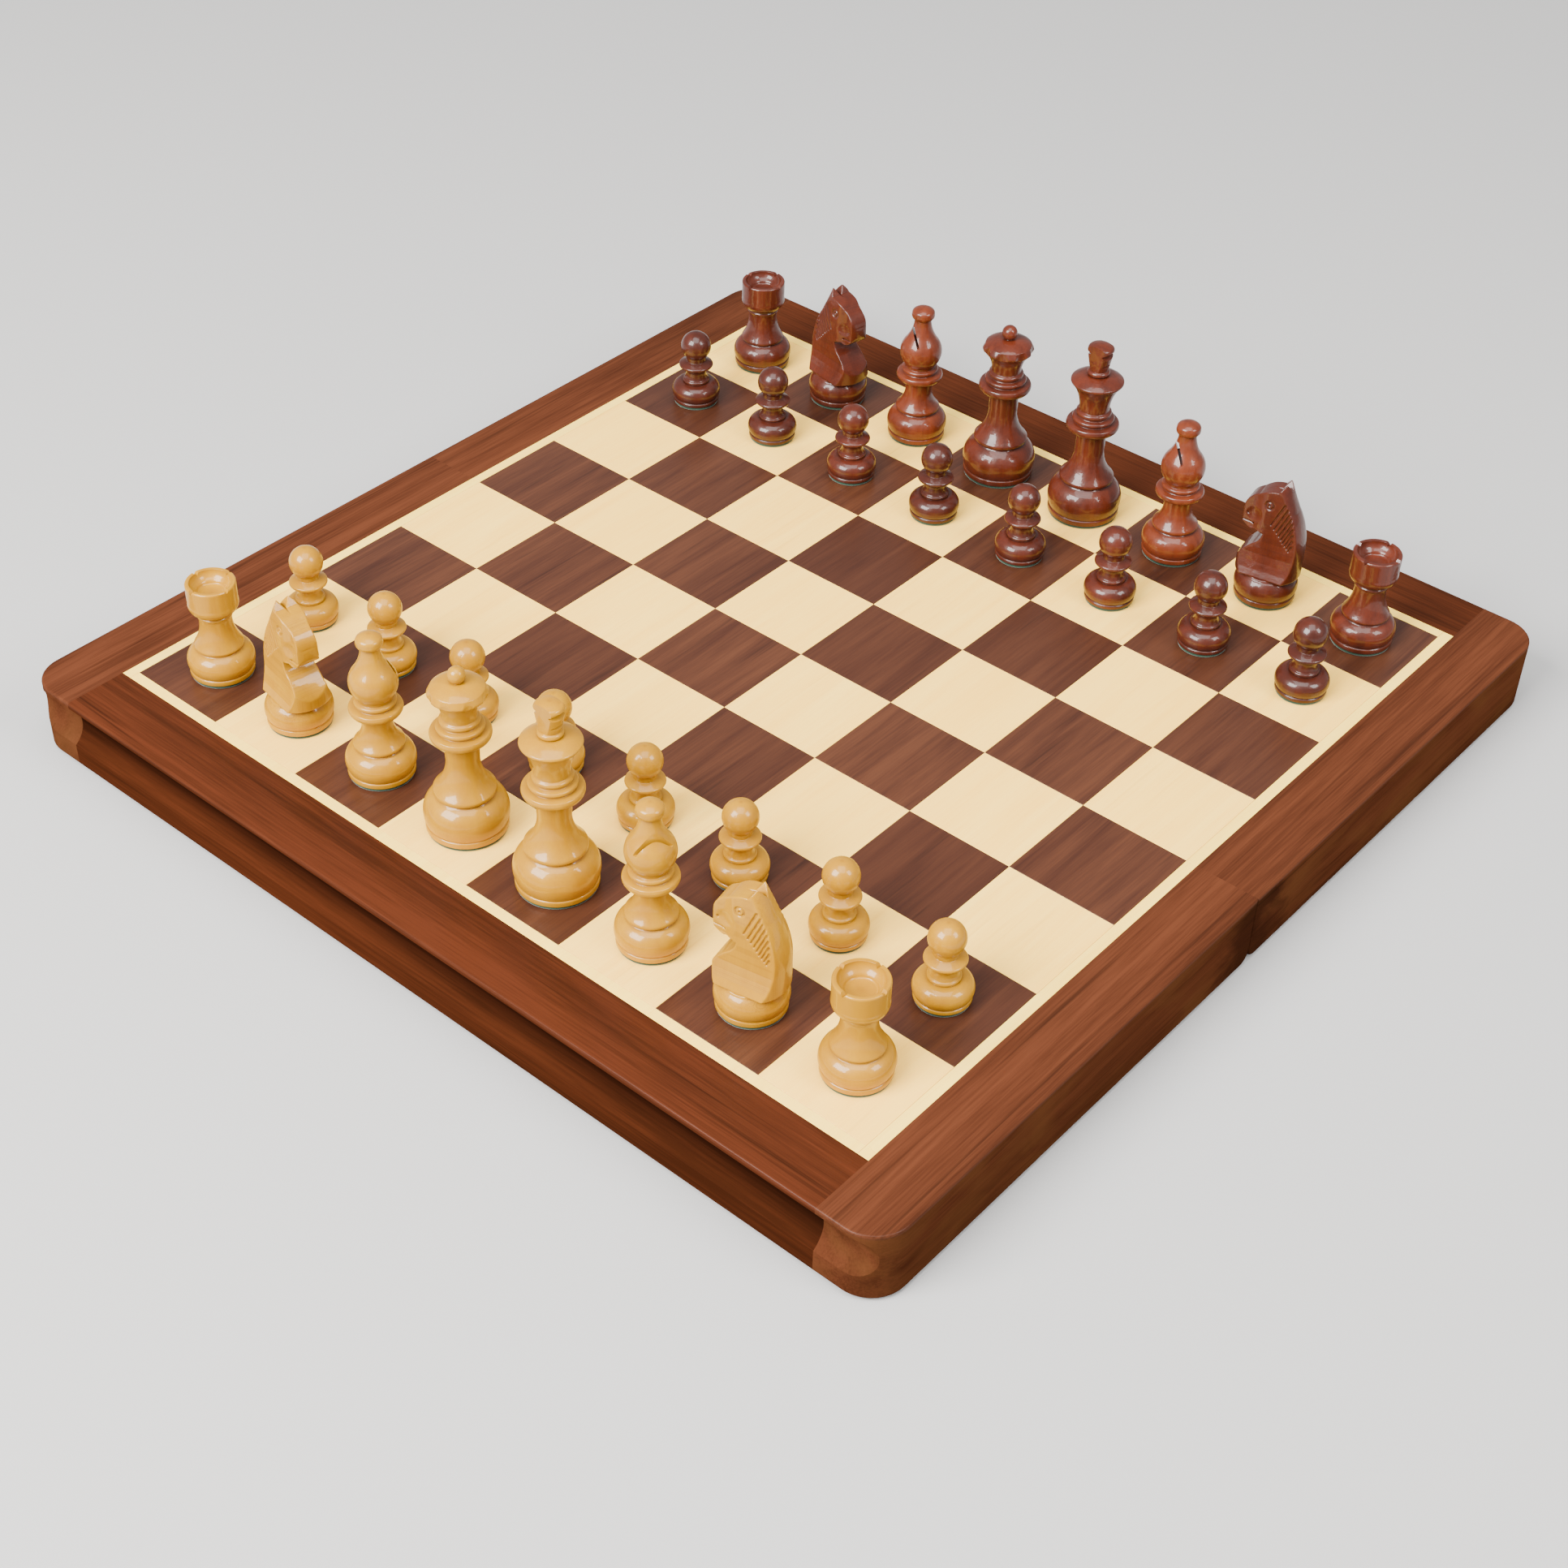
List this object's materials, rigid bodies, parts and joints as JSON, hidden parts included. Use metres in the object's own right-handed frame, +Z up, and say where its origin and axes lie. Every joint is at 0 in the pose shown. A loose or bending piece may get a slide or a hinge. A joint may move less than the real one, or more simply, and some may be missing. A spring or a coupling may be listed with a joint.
{
  "type": "chess set with board",
  "caption": "Folding wooden board in two hinged tray halves with felt-lined storage underneath, set out with turned and carved magnetic chessmen that lift off.",
  "frame": {"origin": "bottom centre of the open board, under the fold line; the lowest points are the hinge knuckles", "axes": "+X from the a-file to the h-file, +Y from rank 1 (white) to rank 8 (black), +Z up"},
  "size_m": [0.356, 0.356, 0.0942],
  "materials": {
    "boxwood": "honey-yellow turned wood under clear gloss lacquer",
    "dark_stained_wood": "red-brown stained wood under clear gloss lacquer",
    "frame_wood": "red-brown long grain, satin lacquer",
    "dark_veneer": "brown figured veneer, satin lacquer",
    "light_veneer": "pale maple veneer, satin lacquer",
    "maple_inlay": "pale maple inlay, satin lacquer",
    "plywood": "plain sanded plywood",
    "steel_sheet": "bare rolled sheet, hidden",
    "green_felt": "short-pile wool felt",
    "hinge_brass": "brushed brass",
    "screw_brass": "plain brass",
    "magnet": "nickel plate"
  },
  "bodies": {
    "white_half": {"white_front_rail": "frame_wood", "white_side_rails": "frame_wood", "white_spine_rail": "frame_wood", "white_core_panel": "plywood", "white_steel_sheet": "steel_sheet", "white_light_squares": "light_veneer", "white_dark_squares": "dark_veneer", "white_inlay_strips": "maple_inlay", "white_divider_strips": "frame_wood", "white_felt_lining": "green_felt", "white_hinge_leaves": "hinge_brass", "white_hinge_screws": "screw_brass", "white_closure_magnets": "magnet", "hinge_pins": "hinge_brass"},
    "black_half": {"black_front_rail": "frame_wood", "black_side_rails": "frame_wood", "black_spine_rail": "frame_wood", "black_core_panel": "plywood", "black_steel_sheet": "steel_sheet", "black_light_squares": "light_veneer", "black_dark_squares": "dark_veneer", "black_inlay_strips": "maple_inlay", "black_divider_strips": "frame_wood", "black_felt_lining": "green_felt", "black_hinge_leaves": "hinge_brass", "black_hinge_screws": "screw_brass", "black_closure_magnets": "magnet"},
    "white_rook_a1": {"white_rook_a1": "boxwood"},
    "white_knight_b1": {"white_knight_b1": "boxwood"},
    "white_bishop_c1": {"white_bishop_c1": "boxwood"},
    "white_queen_d1": {"white_queen_d1": "boxwood"},
    "white_king_e1": {"white_king_e1": "boxwood"},
    "white_bishop_f1": {"white_bishop_f1": "boxwood"},
    "white_knight_g1": {"white_knight_g1": "boxwood"},
    "white_rook_h1": {"white_rook_h1": "boxwood"},
    "white_pawn_a2": {"white_pawn_a2": "boxwood"},
    "white_pawn_b2": {"white_pawn_b2": "boxwood"},
    "white_pawn_c2": {"white_pawn_c2": "boxwood"},
    "white_pawn_d2": {"white_pawn_d2": "boxwood"},
    "white_pawn_e2": {"white_pawn_e2": "boxwood"},
    "white_pawn_f2": {"white_pawn_f2": "boxwood"},
    "white_pawn_g2": {"white_pawn_g2": "boxwood"},
    "white_pawn_h2": {"white_pawn_h2": "boxwood"},
    "black_rook_a8": {"black_rook_a8": "dark_stained_wood"},
    "black_knight_b8": {"black_knight_b8": "dark_stained_wood"},
    "black_bishop_c8": {"black_bishop_c8": "dark_stained_wood"},
    "black_queen_d8": {"black_queen_d8": "dark_stained_wood"},
    "black_king_e8": {"black_king_e8": "dark_stained_wood"},
    "black_bishop_f8": {"black_bishop_f8": "dark_stained_wood"},
    "black_knight_g8": {"black_knight_g8": "dark_stained_wood"},
    "black_rook_h8": {"black_rook_h8": "dark_stained_wood"},
    "black_pawn_a7": {"black_pawn_a7": "dark_stained_wood"},
    "black_pawn_b7": {"black_pawn_b7": "dark_stained_wood"},
    "black_pawn_c7": {"black_pawn_c7": "dark_stained_wood"},
    "black_pawn_d7": {"black_pawn_d7": "dark_stained_wood"},
    "black_pawn_e7": {"black_pawn_e7": "dark_stained_wood"},
    "black_pawn_f7": {"black_pawn_f7": "dark_stained_wood"},
    "black_pawn_g7": {"black_pawn_g7": "dark_stained_wood"},
    "black_pawn_h7": {"black_pawn_h7": "dark_stained_wood"}
  },
  "joints": [
    {"name": "fold", "type": "hinge", "parent": "white_half", "child": "black_half", "pos_m": [0, 0, 0.0012], "axis": [-1, 0, 0], "range_deg": [0, 180]},
    {"name": "lift_white_rook_a1", "type": "slide", "parent": "white_half", "child": "white_rook_a1", "axis": [0, 0, 1], "range_m": [0, 0.08]},
    {"name": "lift_white_knight_b1", "type": "slide", "parent": "white_half", "child": "white_knight_b1", "axis": [0, 0, 1], "range_m": [0, 0.08]},
    {"name": "lift_white_bishop_c1", "type": "slide", "parent": "white_half", "child": "white_bishop_c1", "axis": [0, 0, 1], "range_m": [0, 0.08]},
    {"name": "lift_white_queen_d1", "type": "slide", "parent": "white_half", "child": "white_queen_d1", "axis": [0, 0, 1], "range_m": [0, 0.08]},
    {"name": "lift_white_king_e1", "type": "slide", "parent": "white_half", "child": "white_king_e1", "axis": [0, 0, 1], "range_m": [0, 0.08]},
    {"name": "lift_white_bishop_f1", "type": "slide", "parent": "white_half", "child": "white_bishop_f1", "axis": [0, 0, 1], "range_m": [0, 0.08]},
    {"name": "lift_white_knight_g1", "type": "slide", "parent": "white_half", "child": "white_knight_g1", "axis": [0, 0, 1], "range_m": [0, 0.08]},
    {"name": "lift_white_rook_h1", "type": "slide", "parent": "white_half", "child": "white_rook_h1", "axis": [0, 0, 1], "range_m": [0, 0.08]},
    {"name": "lift_white_pawn_a2", "type": "slide", "parent": "white_half", "child": "white_pawn_a2", "axis": [0, 0, 1], "range_m": [0, 0.08]},
    {"name": "lift_white_pawn_b2", "type": "slide", "parent": "white_half", "child": "white_pawn_b2", "axis": [0, 0, 1], "range_m": [0, 0.08]},
    {"name": "lift_white_pawn_c2", "type": "slide", "parent": "white_half", "child": "white_pawn_c2", "axis": [0, 0, 1], "range_m": [0, 0.08]},
    {"name": "lift_white_pawn_d2", "type": "slide", "parent": "white_half", "child": "white_pawn_d2", "axis": [0, 0, 1], "range_m": [0, 0.08]},
    {"name": "lift_white_pawn_e2", "type": "slide", "parent": "white_half", "child": "white_pawn_e2", "axis": [0, 0, 1], "range_m": [0, 0.08]},
    {"name": "lift_white_pawn_f2", "type": "slide", "parent": "white_half", "child": "white_pawn_f2", "axis": [0, 0, 1], "range_m": [0, 0.08]},
    {"name": "lift_white_pawn_g2", "type": "slide", "parent": "white_half", "child": "white_pawn_g2", "axis": [0, 0, 1], "range_m": [0, 0.08]},
    {"name": "lift_white_pawn_h2", "type": "slide", "parent": "white_half", "child": "white_pawn_h2", "axis": [0, 0, 1], "range_m": [0, 0.08]},
    {"name": "lift_black_rook_a8", "type": "slide", "parent": "black_half", "child": "black_rook_a8", "axis": [0, 0, 1], "range_m": [0, 0.08]},
    {"name": "lift_black_knight_b8", "type": "slide", "parent": "black_half", "child": "black_knight_b8", "axis": [0, 0, 1], "range_m": [0, 0.08]},
    {"name": "lift_black_bishop_c8", "type": "slide", "parent": "black_half", "child": "black_bishop_c8", "axis": [0, 0, 1], "range_m": [0, 0.08]},
    {"name": "lift_black_queen_d8", "type": "slide", "parent": "black_half", "child": "black_queen_d8", "axis": [0, 0, 1], "range_m": [0, 0.08]},
    {"name": "lift_black_king_e8", "type": "slide", "parent": "black_half", "child": "black_king_e8", "axis": [0, 0, 1], "range_m": [0, 0.08]},
    {"name": "lift_black_bishop_f8", "type": "slide", "parent": "black_half", "child": "black_bishop_f8", "axis": [0, 0, 1], "range_m": [0, 0.08]},
    {"name": "lift_black_knight_g8", "type": "slide", "parent": "black_half", "child": "black_knight_g8", "axis": [0, 0, 1], "range_m": [0, 0.08]},
    {"name": "lift_black_rook_h8", "type": "slide", "parent": "black_half", "child": "black_rook_h8", "axis": [0, 0, 1], "range_m": [0, 0.08]},
    {"name": "lift_black_pawn_a7", "type": "slide", "parent": "black_half", "child": "black_pawn_a7", "axis": [0, 0, 1], "range_m": [0, 0.08]},
    {"name": "lift_black_pawn_b7", "type": "slide", "parent": "black_half", "child": "black_pawn_b7", "axis": [0, 0, 1], "range_m": [0, 0.08]},
    {"name": "lift_black_pawn_c7", "type": "slide", "parent": "black_half", "child": "black_pawn_c7", "axis": [0, 0, 1], "range_m": [0, 0.08]},
    {"name": "lift_black_pawn_d7", "type": "slide", "parent": "black_half", "child": "black_pawn_d7", "axis": [0, 0, 1], "range_m": [0, 0.08]},
    {"name": "lift_black_pawn_e7", "type": "slide", "parent": "black_half", "child": "black_pawn_e7", "axis": [0, 0, 1], "range_m": [0, 0.08]},
    {"name": "lift_black_pawn_f7", "type": "slide", "parent": "black_half", "child": "black_pawn_f7", "axis": [0, 0, 1], "range_m": [0, 0.08]},
    {"name": "lift_black_pawn_g7", "type": "slide", "parent": "black_half", "child": "black_pawn_g7", "axis": [0, 0, 1], "range_m": [0, 0.08]},
    {"name": "lift_black_pawn_h7", "type": "slide", "parent": "black_half", "child": "black_pawn_h7", "axis": [0, 0, 1], "range_m": [0, 0.08]}
  ]
}
